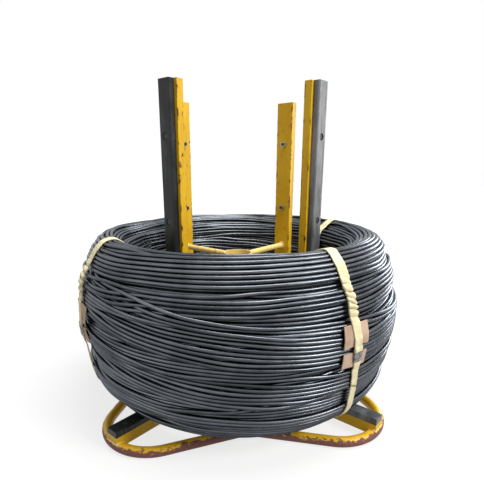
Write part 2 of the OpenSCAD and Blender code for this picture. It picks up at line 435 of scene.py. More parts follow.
@dataclass(frozen=True)
class PaintFinish(Finish):
    """Yellow paint, chipped and streaked, most of all along the posts' edges."""

    paint: Colour
    faded: Colour
    rust: Colour = (0.105, 0.038, 0.016)
    chip_level: float = 0.66
    grime: float = 0.5
    shine: float = 0.25
    dirt: Colour = (0.20, 0.10, 0.02)
    chip_rim: Colour = (0.30, 0.14, 0.02)
    edge_wear: float = 0.006
    struck_r: float = 0.045
    struck_core: float = 0.010
    fade: Grain = Grain(7.0)
    streaks: Grain = Grain(1.0, 4.0, stretch=(60.0, 60.0, 3.0))
    chips: Grain = Grain(85.0, 5.0, 0.66, 0.5, (1.0, 1.0, 0.6))
    spots: Grain = Grain(210.0, 2.0)
    post_mid: float = 0.247
    post_half: Pair = (0.029, 0.010)
    struck: Triple = (0.029, -0.245, 0.702)

    def edges(self, s: Shader, where: NodeSocket) -> NodeSocket:
        """Finds how near a point lies to a post's long edge or to the spot that was struck.

        Args:
            s: the material.
            where: the point.

        Returns:
            A share from 0 to 1.
        """
        x, y = (s.math("ABSOLUTE", s.axis(where, letter)) for letter in "XY")
        aside = s.math("SUBTRACT", self.post_half[0], s.math("MINIMUM", x, y))
        out = s.math("ABSOLUTE", s.math("SUBTRACT", s.math("MAXIMUM", x, y), self.post_mid))
        deep = s.math("SUBTRACT", self.post_half[1], out)
        far = s.math("SQRT", s.math("ADD", s.math("MULTIPLY", aside, aside), s.math("MULTIPLY", deep, deep)))
        spot = s.node("ShaderNodeVectorMath", {0: where, 1: self.struck}, "Value", operation="DISTANCE")
        hit = s.between(spot, self.struck_r, self.struck_core)
        return s.math("MAXIMUM", s.between(far, self.edge_wear, 0.0), hit)

    def shade(self, s: Shader) -> None:
        """Works on object coordinates.

        Args:
            s: the material.
        """
        fade = s.noise(self.fade)
        streaks = s.noise(self.streaks)
        chips = s.noise(self.chips)
        spots = s.noise(self.spots)
        near = self.edges(s, s.coords(Field.OBJECT))
        weak = s.math("ADD", chips, s.math("MULTIPLY", near, 0.13))
        worn = s.math("MAXIMUM", s.between(weak, self.chip_level, self.chip_level + 0.035),
                      s.between(spots, 0.735, 0.76))
        base = s.mix(s.between(fade, 0.35, 0.7), self.paint, self.faded)
        dirty = s.mix(s.between(streaks, 0.52, 0.85, (0.0, self.grime)), base, self.dirt)
        rim = s.mix(s.between(weak, self.chip_level - 0.06, self.chip_level, (0.0, 0.5)), dirty, self.chip_rim)
        s.set("Base Color", s.mix(worn, rim, self.rust))
        s.set("Roughness", s.math("ADD", s.math("MULTIPLY", worn, 0.35), s.between(streaks, 0.2, 0.8, (0.36, 0.55))))
        s.set("Specular IOR Level", self.shine)
        s.bump(s.math("SUBTRACT", s.math("MULTIPLY", fade, 0.4), worn), 0.0006, 0.6)


@dataclass(frozen=True)
class PipeFinish(Finish):
    """The loop's pipe: yellow above and inside, worn to rusty red on its outer and lower side."""

    name: str = "worn_pipe"
    paint: Colour = (0.80, 0.46, 0.015)
    red: Colour = (0.175, 0.056, 0.046)
    bare: Colour = (0.26, 0.13, 0.11)
    chip: Colour = (0.055, 0.018, 0.012)
    dirt: Colour = (0.40, 0.20, 0.01)
    edge: Grain = Grain(17.0, 3.0, 0.6)
    torn: Grain = Grain(78.0, 5.0, 0.72, stretch=(1.0, 1.0, 1.8))
    fine: Grain = Grain(150.0)

    def shade(self, s: Shader) -> None:
        """Reads how far each point faces out and down.

        Args:
            s: the material.
        """
        edge = s.noise(self.edge)
        torn = s.noise(self.torn)
        fine = s.noise(self.fine)
        wave = s.math("MULTIPLY", s.math("SUBTRACT", edge, 0.46), 2.4)
        flake = s.math("MULTIPLY", s.math("SUBTRACT", torn, 0.5), 3.4)
        side = s.math("ADD", s.math("ADD", s.attribute("outside"), wave), flake)
        worn = s.between(side, 0.02, 0.08)
        lip = s.between(side, -0.16, 0.02, (0.0, 0.75))
        paint = s.mix(s.between(fine, 0.5, 0.8, (0.0, 0.35)), self.paint, self.dirt)
        red = s.mix(s.between(fine, 0.5, 0.75, (0.0, 0.8)), self.red, self.bare)
        s.set("Base Color", s.mix(worn, s.mix(lip, paint, self.chip), red))
        s.set("Roughness", s.between(worn, 0.0, 1.0, (0.40, 0.66)))
        s.bump(s.math("SUBTRACT", s.math("MULTIPLY", fine, 0.4), worn), 0.0008, 0.7)


@dataclass(frozen=True)
class PaperFinish(Finish):
    """Creased cream crepe paper that wraps a strap."""

    name: str = "crepe_paper"
    light: Colour = (0.84, 0.76, 0.50)
    deep: Colour = (0.52, 0.41, 0.18)
    # Painted shade: colour laid into the paper's creases
    crease_shade: Colour = (0.26, 0.18, 0.06)
    crepe: Grain = Grain(1.0, stretch=(420.0, 70.0, 1.0), source=Field.UV)
    blotch: Grain = Grain(32.0, 4.0)

    def shade(self, s: Shader) -> None:
        """Reads the strap's UV map and paints shade into its creases.

        Args:
            s: the material.
        """
        s.set("Roughness", 0.78)
        crepe = s.noise(self.crepe)
        blotch = s.noise(self.blotch)
        # Painted shade: the deeper the crease, the darker the paper
        crease_shade = s.between(s.attribute("crease_shade"), -0.12, -0.70)
        tint = s.mix(s.between(blotch, 0.35, 0.7, (0.0, 0.45)), self.light, self.deep)
        s.set("Base Color", s.mix(s.math("MULTIPLY", crease_shade, 0.85), tint, self.crease_shade))
        s.set("Specular IOR Level", 0.25)
        s.bump(crepe, 0.0006, 0.7)


@dataclass(frozen=True)
class CardboardFinish(Finish):
    """Buff cardboard with a fine fibre and faint flutes."""

    name: str = "buff_cardboard"
    face: Colour = (0.58, 0.41, 0.30)
    dark: Colour = (0.36, 0.235, 0.155)
    fibre: Grain = Grain(420.0, 4.0, 0.7)
    stain: Grain = Grain(28.0, 4.0)

    def shade(self, s: Shader) -> None:
        """Works on object coordinates.

        Args:
            s: the material.
        """
        s.set("Roughness", 0.85)
        fibre = s.noise(self.fibre)
        stain = s.noise(self.stain)
        tint = s.mix(s.between(stain, 0.4, 0.75, (0.0, 0.6)), self.face, self.dark)
        s.set("Base Color", s.mix(s.between(fibre, 0.5, 0.85, (0.0, 0.5)), tint, self.dark))
        s.set("Specular IOR Level", 0.2)
        s.bump(fibre, 0.0004, 0.5)


@dataclass(frozen=True)
class MetalFinish(Finish):
    """Bare or plated steel, scratched and dulled."""

    bright: Colour
    dull: Colour
    roughness: float = 0.38
    metallic: float = 0.9
    tarnish: Grain = Grain(120.0, 5.0, 0.65)
    scratch: Grain = Grain(1.0, 2.0, stretch=(900.0, 120.0, 300.0))

    def shade(self, s: Shader) -> None:
        """Works on object coordinates.

        Args:
            s: the material.
        """
        s.set("Metallic", self.metallic)
        tarnish = s.noise(self.tarnish)
        scratch = s.noise(self.scratch)
        s.set("Base Color", s.mix(s.between(tarnish, 0.4, 0.7), self.bright, self.dull))
        s.set("Roughness", s.between(scratch, 0.2, 0.8, (self.roughness - 0.08, self.roughness + 0.16)))
        s.bump(tarnish, 0.0003, 0.5)


@dataclass(frozen=True)
class BarFinish(Finish):
    """Black bars and strips, scuffed along their length."""

    black: Colour = (0.014, 0.015, 0.016)
    scuff: Colour = (0.10, 0.105, 0.108)
    wear_from: float = 0.50
    shine: float = 0.22
    wear: Grain = Grain(1.0, 6.0, 0.68, stretch=(30.0, 30.0, 5.0))
    fine: Grain = Grain(260.0)
    dust: Grain = Grain(11.0, 4.0)

    def shade(self, s: Shader) -> None:
        """Works on object coordinates.

        Args:
            s: the material.
        """
        wear = s.noise(self.wear)
        fine = s.noise(self.fine)
        dust = s.noise(self.dust)
        scuffs = s.between(wear, self.wear_from, self.wear_from + 0.22, (0.0, 0.7))
        share = s.math("ADD", scuffs, s.between(dust, 0.45, 0.8, (0.0, 0.3)))
        s.set("Base Color", s.mix(share, self.black, self.scuff))
        s.set("Specular IOR Level", self.shine)
        s.set("Roughness", s.between(wear, 0.3, 0.7, (0.30, 0.48)))
        s.bump(s.math("ADD", s.math("MULTIPLY", fine, 0.4), wear), 0.0004, 0.5)


# The coil


@dataclass(frozen=True)
class Bundle:
    """Turns laid side by side, and how their common path leans round the coil.

    A bundle with a middle lies there, at a share of the way round the section.
    The others follow each other.
    """

    turns: int
    tilt: float
    high_at: float
    sway: float = 0.0
    sway_at: float = 0.0
    middle: float | None = None
    pinch: float = 0.0
    pinch_at: float = 249.0
    pinch_reach: float = 0.65

    def path(self, angle: np.ndarray) -> np.ndarray:
        """Gives how far the bundle's middle moves along the section at angles in radians."""
        lean = self.tilt * np.cos(angle - math.radians(self.high_at))
        return lean + self.sway * np.cos(2 * (angle - math.radians(self.sway_at)))

    def spread(self, angle: np.ndarray) -> np.ndarray:
        """Gives the share of its full width that the bundle has."""
        apart = np.angle(np.exp(1j * (angle - math.radians(self.pinch_at))))
        return 1 - self.pinch * np.exp(-((apart / self.pinch_reach) ** 2))


@dataclass(frozen=True)
class Section:
    """Outline of the coil's section through its axis, as shares of its width and height."""

    bore_r: float
    outer_r: float
    low_z: float
    high_z: float
    shares: Pairs = (
        (0.29, 0.0), (0.42, 0.002), (0.59, 0.022), (0.76, 0.09), (0.865, 0.205), (0.935, 0.35), (0.985, 0.47),
        (0.992, 0.54), (0.965, 0.66), (0.89, 0.775), (0.755, 0.885), (0.60, 0.97), (0.44, 0.998), (0.22, 0.965),
        (0.07, 0.91), (0.005, 0.82), (0.002, 0.62), (0.0, 0.40), (0.006, 0.18), (0.05, 0.06), (0.16, 0.008))
    steps: int = 12

    def curve(self, inset: float) -> np.ndarray:
        """Gives the outline as a smooth closed line, drawn in from the surface.

        Args:
            inset: distance in from the surface.

        Returns:
            Array of (points, 2): radius and height.
        """
        marks = np.array(self.shares)
        a, b, c, d = (np.roll(marks, k, axis=0)[:, None, :] for k in (1, 0, -1, -2))
        t = (np.arange(self.steps) / self.steps)[None, :, None]
        line = (2 * b + (c - a) * t + (2 * a - 5 * b + 4 * c - d) * t**2 + (3 * b - a - 3 * c + d) * t**3) / 2
        line = line.reshape(-1, 2)
        low = np.array([self.bore_r, self.low_z]) + inset
        high = np.array([self.outer_r, self.high_z]) - inset
        return low + line * (high - low)


def along(line: np.ndarray, places: np.ndarray) -> np.ndarray:
    """Finds points at given lengths along a closed line.

    Args:
        line: array of (points, 2).
        places: lengths along it, of any shape, taken round again past its end.

    Returns:
        Array of the shape of places, with 2 more.
    """
    closed = np.vstack([line, line[:1]])
    length = np.concatenate([[0.0], np.cumsum(np.linalg.norm(np.diff(closed, axis=0), axis=1))])
    at = np.mod(places, length[-1])
    return np.stack([np.interp(at, length, closed[:, k]) for k in (0, 1)], -1)


def line_length(line: np.ndarray) -> float:
    """Measures a closed line."""
    return float(np.linalg.norm(np.roll(line, -1, axis=0) - line, axis=1).sum())


def filtered(rings: np.ndarray, gain: np.ndarray | float, stations: int) -> np.ndarray:
    """Weighs the waves round closed rings, and reads the rings at a count of stations."""
    return np.fft.irfft(np.fft.rfft(rings, axis=1) * gain, n=stations, axis=1)


@dataclass
class WireCoil:
    """The wound coil: turns that were laid in leaning bundles and then settled on each other.

    Pitches are in wire diameters. Stiffness is the count of waves round a turn that a wire resists.
    """

    section: Section
    wire_d: float = 0.010
    layer: float = 0.009
    margin: float = 0.0005
    proud: float = 0.0045
    slack: float = 0.85
    deep_pitch: float = 1.04
    laid_pitch: float = 1.015
    crossing_pitch: float = 1.03
    first_place: float = -0.03
    wander: float = 0.0017
    stiff: float = 14
    supple: float = 18
    give: float = 0.35
    pull: float = 0.0005
    hold: float = 0.05
    stations: int = 128
    mesh_stations: int = 192
    sides: int = 8
    deep_stations: int = 96
    deep_sides: int = 6
    rounds: int = 120
    rests: int = 25
    smooth_every: int = 4
    reach: int = 20
    merge: float = 0.0002
    lay_seed: int = 11
    tone_seed: int = 5
    laid: tuple[Bundle, ...] = (
        Bundle(5, 0.004, 0), Bundle(5, 0.012, 20, 0.004, 30), Bundle(5, 0.012, 190, 0.004, 100),
        Bundle(6, 0.014, 60, 0.005, 10), Bundle(5, 0.013, 300, 0.005, 60), Bundle(5, 0.012, 150, 0.006, 20),
        Bundle(7, 0.010, 10, 0.004, 80, pinch=0.35), Bundle(12, 0.016, 350, 0.003, 50),
        Bundle(5, 0.006, 40, 0.002, 0), Bundle(4, 0.012, 250, 0.004, 90), Bundle(5, 0.014, 100, 0.005, 10),
        Bundle(5, 0.016, 300, 0.006, 50), Bundle(5, 0.016, 180, 0.006, 120), Bundle(5, 0.012, 20, 0.006, 80),
        Bundle(4, 0.010, 220, 0.004, 30))
    crossing: tuple[Bundle, ...] = (
        Bundle(5, 0.007, 230, 0.003, 0, 0.030), Bundle(6, 0.015, 200, 0.005, 70, 0.104),
        Bundle(8, 0.032, 215, 0.009, 235, 0.205, 0.2), Bundle(8, 0.038, 222, 0.010, 235, 0.308, 0.3),
        Bundle(3, 0.050, 226, 0.010, 235, 0.350, 0.3), Bundle(1, 0.040, 60, 0.006, 30, 0.180),
        Bundle(4, 0.020, 10, 0.004, 60, 0.380, 0.5), Bundle(13, 0.022, 345, 0.003, 50, 0.460),
        Bundle(4, 0.014, 150, 0.004, 30, 0.585), Bundle(5, 0.016, 30, 0.005, 80, 0.655),
        Bundle(5, 0.016, 260, 0.005, 20, 0.740), Bundle(5, 0.014, 120, 0.004, 60, 0.830),
        Bundle(4, 0.010, 20, 0.003, 10, 0.910))
    turns: np.ndarray = field(init=False)
    deep: np.ndarray = field(init=False)

    def lay(self) -> np.ndarray:
        """Lays out where each turn would lie alone, in order round the section.

        Returns:
            Array of (turns, stations, 2).
        """
        rng = np.random.default_rng(self.lay_seed)
        angle = np.arange(self.stations) * 2 * np.pi / self.stations
        found: list[tuple[float, bool, np.ndarray]] = []

        def add(bundle: Bundle, middle: float, line: np.ndarray, pitch: float, wander: float) -> None:
            """Lays one bundle on a line.

            Args:
                bundle: the bundle.
                middle: share of the way round the section.
                line: the section's outline.
                pitch: distance between turns.
                wander: how far a turn strays, 0 for the deep ones.
            """
            length = line_length(line)
            for k in range(bundle.turns):
                off = (k - (bundle.turns - 1) / 2) * pitch
                stray = sum(rng.normal(0, wander / h) * np.cos(h * angle + rng.uniform(0, 2 * np.pi))
                            for h in (1, 2, 3, 4))
                place = middle * length + off * bundle.spread(angle) + bundle.path(angle) + stray
                found.append(((middle + off / length) % 1, wander == 0, along(line, place)))

        lines = [self.section.curve(self.wire_d / 2 + k * self.layer) for k in range(3)]
        count = int(line_length(lines[2]) / (self.deep_pitch * self.wire_d))
        for k in range(count):
            lean = Bundle(1, 0.005, 3 * k, 0.002, 9 * k)
            add(lean, (k + 0.5) / count, lines[2], 0.0, 0.0)
        total = sum(b.turns + self.slack for b in self.laid)
        start = self.first_place
        for b in self.laid:
            add(b, start + b.turns / total / 2, lines[1], self.laid_pitch * self.wire_d, self.wander)
            start += (b.turns + self.slack) / total
        for b in self.crossing:
            add(b, b.middle, lines[0], self.crossing_pitch * self.wire_d, self.wander)
        found.sort(key=lambda item: item[0])
        self.deep = np.array([item[1] for item in found])
        return np.array([item[2] for item in found], dtype=np.float32)

    def part(self, at: np.ndarray) -> np.ndarray:
        """Moves turns that overlap away from each other.

        Args:
            at: array of (turns, stations, 2).

        Returns:
            The moved turns.
        """
        moved = at.copy()
        for k in range(1, self.reach + 1):
            gap = at - np.roll(at, -k, axis=0)
            square = gap[..., 0] ** 2 + gap[..., 1] ** 2
            size = np.sqrt(np.maximum(square, 1e-12))
            share = np.maximum(self.wire_d - size, 0) / size * self.give
            if share.any():
                push = gap * share[..., None]
                moved += push
                moved -= np.roll(push, k, axis=0)
        return moved

    def settle(self) -> None:
        """Draws the turns in under tension until they lie on each other, and keeps the result."""
        goal = self.lay()
        core = self.section.curve(self.wire_d / 2 + 2 * self.layer + self.margin)[::4]
        edge = np.roll(core, -1, axis=0) - core
        normal = np.stack([edge[:, 1], -edge[:, 0]], 1)
        normal = (normal / np.linalg.norm(normal, axis=1, keepdims=True)).astype(np.float32)
        limit = (core * normal).sum(1).astype(np.float32)

        def height(at: np.ndarray) -> tuple[np.ndarray, np.ndarray]:
            """Finds how points lie to the core.

            Args:
                at: array of (turns, stations, 2).

            Returns:
                Heights above the core and outward directions.
            """
            above = at @ normal.T - limit
            best = above.argmax(-1)
            return np.take_along_axis(above, best[..., None], -1)[..., 0], normal[best]

        wave = np.fft.rfftfreq(self.stations, 1 / self.stations)
        stiff = (1 / (1 + (wave / self.stiff) ** 4)).astype(np.float32)[None, :, None]
        at = goal
        for k in range(self.rounds + self.rests):
            up, out = height(at)
            if k < self.rounds:
                back = goal - at
                at = at - out * np.minimum(self.pull, np.maximum(up, 0))[..., None]
                at = at + self.hold * (back - out * (back * out).sum(-1, keepdims=True))
                at = self.part(at)
                if k % self.smooth_every == self.smooth_every - 1:
                    at = filtered(at, stiff, self.stations).astype(np.float32)
            at = self.part(at)
            up, out = height(at)
            at = at + out * (np.clip(up, 0, 2 * self.layer + self.proud) - up)[..., None]
        supple = 1 / (1 + (wave / self.supple) ** 6)[None, :, None]
        self.turns = filtered(at.astype(np.float64), supple, self.stations)
        LOG.info("%d turns settled", len(at))

    def at_angles(self, degrees: np.ndarray) -> np.ndarray:
        """Reads each turn's place at angles about the axis.

        Args:
            degrees: one angle for each turn.

        Returns:
            Array of (turns, 2): radius and height.
        """
        place = np.mod(degrees, 360.0) / 360.0 * self.stations
        low = np.floor(place).astype(int) % self.stations
        share = (place - np.floor(place))[:, None]
        rows = np.arange(len(self.turns))
        return self.turns[rows, low] * (1 - share) + self.turns[rows, (low + 1) % self.stations] * share

    def tubes(self, name: str, chosen: np.ndarray, stations: int, sides: int) -> Object:
        """Makes some of the turns as one mesh of round tubes.

        Args:
            name: the piece's name.
            chosen: indices of the turns.
            stations: rings along a turn.
            sides: flats round the wire.

        Returns:
            The object, with a tone for each turn.
        """
        fine = filtered(self.turns[chosen], stations / self.stations, stations)
        angle = np.arange(stations) * 2 * np.pi / stations
        turn = np.arange(sides) * 2 * np.pi / sides
        radius = fine[:, :, None, 0] + self.wire_d / 2 * np.cos(turn)
        z = fine[:, :, None, 1] + self.wire_d / 2 * np.sin(turn)
        points = np.stack([radius * np.cos(angle)[:, None], radius * np.sin(angle)[:, None], z], -1)
        rng = np.random.default_rng(self.tone_seed)
        shift = rng.uniform(0, 40, len(chosen))
        obj = grid_mesh(name, points, (2 * np.pi * self.section.outer_r, 1.0), shift, True)
        add_attribute(obj, "tone", np.repeat(rng.uniform(0, 1, len(chosen)), stations * sides))
        return obj

    def core(self) -> Object:
        """Spins a dark core that fills the coil behind its turns.

        Returns:
            The object.
        """
        line = self.section.curve(self.wire_d + 2 * self.layer)[::6]
        deselect()
        bpy.ops.mesh.primitive_circle_add(vertices=len(line), radius=self.wire_d, fill_type="NOTHING")
        obj = name_piece("coil_core")
        for vertex, (radius, z) in zip(obj.data.vertices, line):
            vertex.co = (radius, 0.0, z)
        edit_all()
        bpy.ops.mesh.spin(steps=self.deep_stations, angle=2 * math.pi, center=(0, 0, 0), axis=(0, 0, 1))
        close_shell(self.merge)
        add_attribute(obj, "tone", np.zeros(len(obj.data.vertices)))
        if not obj.data.uv_layers:
            obj.data.uv_layers.new(name="lay")
        return obj

    def build(self, finish: WireFinish) -> None:
        """Settles the winding and makes its pieces.

        Args:
            finish: the wire's finish.
        """
        self.settle()
        material = finish.material()
        shown = np.array_split(np.flatnonzero(~self.deep), 3)
        names = ("coil_outer_turns", "coil_crest_turns", "coil_bore_turns")
        pieces = [self.tubes(name, part, self.mesh_stations, self.sides) for name, part in zip(names, shown)]
        pieces.append(self.tubes("coil_deep_turns", np.flatnonzero(self.deep), self.deep_stations, self.deep_sides))
        finish_piece(pieces[0], material, "wire", "wire_coil")
        for piece in pieces[1:] + [self.core()]:
            finish_piece(piece, material, "wire")


# Straps


def taut_line(points: np.ndarray) -> np.ndarray:
    """Finds the shortest closed line round points.

    Args:
        points: array of (points, 2).

    Returns:
        Its corners, counter-clockwise.
    """
    order = points[np.lexsort((points[:, 1], points[:, 0]))]

    def chain(items: np.ndarray) -> list[np.ndarray]:
        """Walks one side of the line.

        Args:
            items: the points in order.

        Returns:
            That side's corners, without its last.
        """
        kept: list[np.ndarray] = []
        for p in items:
            while len(kept) > 1:
                a, b = kept[-1] - kept[-2], p - kept[-1]
                if a[0] * b[1] - a[1] * b[0] > 0:
                    break
                kept.pop()
            kept.append(p)
        return kept[:-1]

    return np.array(chain(order) + chain(order[::-1]))


def eased(values: np.ndarray, passes: int) -> np.ndarray:
    """Smooths values that follow each other round a closed line.

    Args:
        values: the values, along the first axis.
        passes: how often each is mixed with the two beside it.

    Returns:
        The smoothed values.
    """
    for _ in range(passes):
        values = (np.roll(values, 1, axis=0) + 2 * values + np.roll(values, -1, axis=0)) / 4
    return values


@dataclass(frozen=True)
class Gather:
    """How a strap's paper is gathered into folds above its pads.

    Each wave of folds has a length, a slant and the least height of its creases.
    """

    waves: tuple[Triple, ...]
    wander: float
    depth: float
    draw_in: float


class Wrap(Enum):
    """Ways in which a strap is wrapped."""

    CREASED = Gather(((0.0145, 0.9, 0.0), (0.0235, -0.7, 0.45)), 1.0, 0.0058, 0.22)
    KNOTTED = Gather(((0.0185, 0.15, 0.0),), 0.3, 0.0085, 0.42)


@dataclass(frozen=True)
class Course:
    """How one strap runs: its angle about the axis at the foot, half way up and at the crest."""

    number: int
    foot: float
    middle: float
    crest: float
    wrap: Wrap = Wrap.CREASED
    pads_aside: Pair = (0.0, 0.0)
    pads_skew: Pair = (1.0, -3.0)
    crumple: float = 0.0008
    breadth: float = 1.0

    def angle(self, share: np.ndarray) -> np.ndarray:
        """Gives the angle at a share of the coil's height."""
        s = np.clip(share, 0, 1)
        return self.foot * (1 - s) * (1 - 2 * s) + self.middle * 4 * s * (1 - s) + self.crest * s * (2 * s - 1)


COURSES = (
    Course(1, -11.2, -15.1, -18.0, pads_aside=(0.0, -0.008)),
    Course(2, 69.5, 70.5, 71.0),
    Course(3, 168.5, 167.5, 166.5, pads_skew=(-2.0, 2.0)),
    Course(4, 247.5, 250.6, 250.5, Wrap.KNOTTED, (0.012, 0.010), (-4.0, 4.0), 0.0022, 1.2))


@dataclass
class Strap:
    """One paper-wrapped strap, with its cardboard pads and its seal."""

    course: Course
    coil: WireCoil
    width: float = 0.023
    thick: float = 0.0025
    pad_thick: float = 0.003
    pad_w: float = 0.078
    upper: Pair = (0.3005, 0.3535)
    lower: Pair = (0.2485, 0.2845)
    seal_z: float = 0.273
    seal_l: float = 0.023
    lean_span: float = 0.02
    gather: Pair = (0.362, 0.455)
    widths: Pairs = (
        (0.05, 0.0205), (0.24, 0.0205), (0.262, 0.023), (0.352, 0.024), (0.375, 0.027), (0.44, 0.026), (0.47, 0.028))
    bare_width: float = 0.0265
    crease_z: float = 0.187
    crease_w: float = 0.0024
    crease_slant: float = 0.004
    feel: tuple[float, ...] = (-1.2, 0.0, 1.2)
    seat: float = 0.0003
    ring_sides: int = 24
    pad_gap: float = 0.0008
    pad_over: float = 0.008
    line_passes: int = 7
    lift_passes: int = 14
    tail_l: float = 0.021
    tail_puff: float = 0.0032
    tail_tuck: float = 0.002
    tail_skew: float = 0.0015
    tail_aside: float = 0.0012
    outer_from: float = 0.35
    gather_edge: float = 0.014
    blend: int = 12
    fold_base: float = 0.35
    fold_wander: float = 0.7
    wander_l: float = 0.061
    crown: float = 0.0010
    ripples: Pairs = ((0.052, 0.4), (0.029, 0.4), (0.017, 0.3))
    ripple_h: float = 0.0004
    nick: float = 0.0009
    thinnest: float = 0.0008
    sway: float = 0.0016
    sway_l: float = 0.11
    pad_cuts: int = 14
    pad_bed: float = 0.0004
    pad_curl: float = 0.0016
    pad_solid: float = 0.8
    pad_edge: float = 0.0005
    seal_over: Pair = (0.0042, 0.0046)
    seal_lift: float = 0.0012
    seal_cuts: int = 5
    seal_edge: float = 0.0008
    crimps: tuple[float, ...] = (-0.25, 0.25)
    crimp_w: float = 0.09
    crimp_in: float = 0.16
    crimp_dent: float = 0.0012
    seal_crown: float = 0.0008
    step: float = 0.0016
    across: int = 11
    seed: int = 30
    path: np.ndarray = field(init=False)
    out: np.ndarray = field(init=False)

    def angle_at(self, z: np.ndarray | float) -> np.ndarray:
        """Gives the strap's angle at a height, as it leans round the coil."""
        low, high = self.coil.section.low_z, self.coil.section.high_z
        return self.course.angle((z - low) / (high - low))

    def trace(self) -> None:
        """Draws the strap tight round the turns under it, lifted over its pads."""
        coil = self.coil
        own = self.angle_at(coil.turns.mean(1)[:, 1])
        near = np.concatenate([coil.at_angles(own + d) for d in self.feel])
        turn = np.arange(self.ring_sides) * 2 * np.pi / self.ring_sides
        ring = np.stack([np.cos(turn), np.sin(turn)], -1) * (coil.wire_d / 2 + self.seat)
        line = taut_line((near[:, None] + ring[None]).reshape(-1, 2))
        count = int(line_length(line) / self.step)
        line = along(line, np.arange(count) * line_length(line) / count)
        line = eased(line, self.line_passes)
        ahead = np.roll(line, -1, axis=0) - np.roll(line, 1, axis=0)
        out = np.stack([ahead[:, 1], -ahead[:, 0]], -1) / np.linalg.norm(ahead, axis=1, keepdims=True)
        z = line[:, 1]
        on_pad = (z > self.lower[0] - self.pad_over) & (z < self.upper[1] + self.pad_over) & (out[:, 0] > 0.5)
        lift = eased(on_pad.astype(float) * (self.pad_thick + self.pad_gap), self.lift_passes)
        self.path, self.out = line + out * lift[:, None], out

    def shell(self, name: str, sides: tuple[np.ndarray, np.ndarray], aside: np.ndarray, degrees: np.ndarray,
              length: float, closed: bool) -> Object:
        """Makes a piece of paper with a face and a back.

        Args:
            name: the piece's name.
            sides: radius and height of the points of the face and of the back, in rows.
            aside: distance of each point along the coil.
            degrees: angle about the axis for each point.
            length: the piece's length, along the rows.
            closed: whether the last row meets the first.

        Returns:
            The object.
        """
        face, back = sides
        flat, over, turned = (np.concatenate([a, b[:, ::-1]], axis=1)
                              for a, b in ((face, back), (aside, aside), (degrees, degrees)))
        radius, z = flat[..., 0], flat[..., 1]
        cos, sin = np.cos(np.radians(turned)), np.sin(np.radians(turned))
        points = np.stack([radius * cos - over * sin, radius * sin + over * cos, z], -1)
        return grid_mesh(name, points[None], (length, 2 * self.width), np.zeros(1), closed)

    def folds(self, t: np.ndarray, v: np.ndarray, rng: np.random.Generator) -> np.ndarray:
        """Gathers the paper into slanting folds.

        Args:
            t: shares of the way round the strap, as a column.
            v: places across it from -1 to 1, as a row.
            rng: source of the folds' wander.

        Returns:
            Heights from 0 in a crease to 1 on a ridge.
        """
        length = len(t) * self.step
        gather = self.course.wrap.value
        height = np.ones((len(t), v.shape[1]))
        for wave, slant, least in gather.waves:
            drift = 2 * np.pi * round(length / self.wander_l) * t + rng.uniform(0, 6) + 1.3 * v
            wander = self.fold_wander * np.sin(drift) * gather.wander
            phase = np.pi * round(length / wave) * t + slant * v + wander
            height = height * (least + (1 - least) * np.abs(np.sin(phase)) ** 0.6)
        return height

    def band(self) -> Object:
        """Makes the creased paper band.

        Returns:
            The object, with the depth of its creases, which its finish paints as shade.
        """
        rng = np.random.default_rng(self.seed + self.course.number)
        count = len(self.path)
        t = (np.arange(count) / count)[:, None]
        v = np.linspace(-1, 1, self.across)[None]
        z, outer = self.path[:, 1], (self.out[:, 0] > self.outer_from).astype(float)
        low, high = self.gather
        gathered = np.clip(np.minimum(z - low, high - z) / self.gather_edge, 0, 1) * outer
        wide = np.where(outer > 0, np.interp(z, *zip(*self.widths)), self.bare_width) * self.course.breadth
        smooth = np.ones(2 * self.blend + 1) / (2 * self.blend + 1)
        gathered, wide = (np.convolve(np.concatenate([a[-self.blend:], a, a[:self.blend]]), smooth, "valid")[:, None]
                          for a in (gathered, wide))
        fold = self.folds(t, v, rng)
        ripple = np.zeros_like(fold)
        for wave, size in self.ripples:
            phase = 2 * np.pi * round(count * self.step / wave) * t
            start, slant = rng.uniform(0, 6), rng.uniform(-1.4, 1.4)
            ripple += size * np.sin(phase + start + slant * v + 0.9 * np.sin(0.37 * phase + 5 * v))
        nick = np.exp(-(((z[:, None] - self.crease_z + self.crease_slant * v) / self.crease_w) ** 2)) * outer[:, None]
        gather = self.course.wrap.value
        proud = self.thick + gathered * (gather.depth * (fold - self.fold_base) + self.crown * (1 - v**2))
        proud = np.maximum(proud + self.ripple_h * (1 - gathered) * ripple - self.nick * nick, self.thinnest)
        swing = 2 * np.pi * round(count * self.step / self.sway_l) * t + self.course.number
        sway = self.sway * np.sin(swing) * (0.25 + gathered)
        aside = sway + wide / 2 * v * (1 - gather.draw_in * gathered * (1 - fold)) + self.ripple_h * ripple
        face = self.path[:, None] + self.out[:, None] * proud[..., None]
        back = self.path[:, None, :] + np.zeros((1, self.across, 1))
        degrees = np.broadcast_to(self.angle_at(z)[:, None], aside.shape)
        obj = self.shell(f"paper_strap_{self.course.number}", (face, back), aside, degrees, count * self.step, True)
        # Painted shade: fold valleys, ripple hollows and the nick are stored as darkening for the paper
        crease_shade = gathered * (2 * fold - 1.1) + 0.3 * (1 - gathered) * ripple - 1.2 * nick
        add_attribute(obj, "crease_shade", np.concatenate([crease_shade, 0 * crease_shade], axis=1))
        return obj

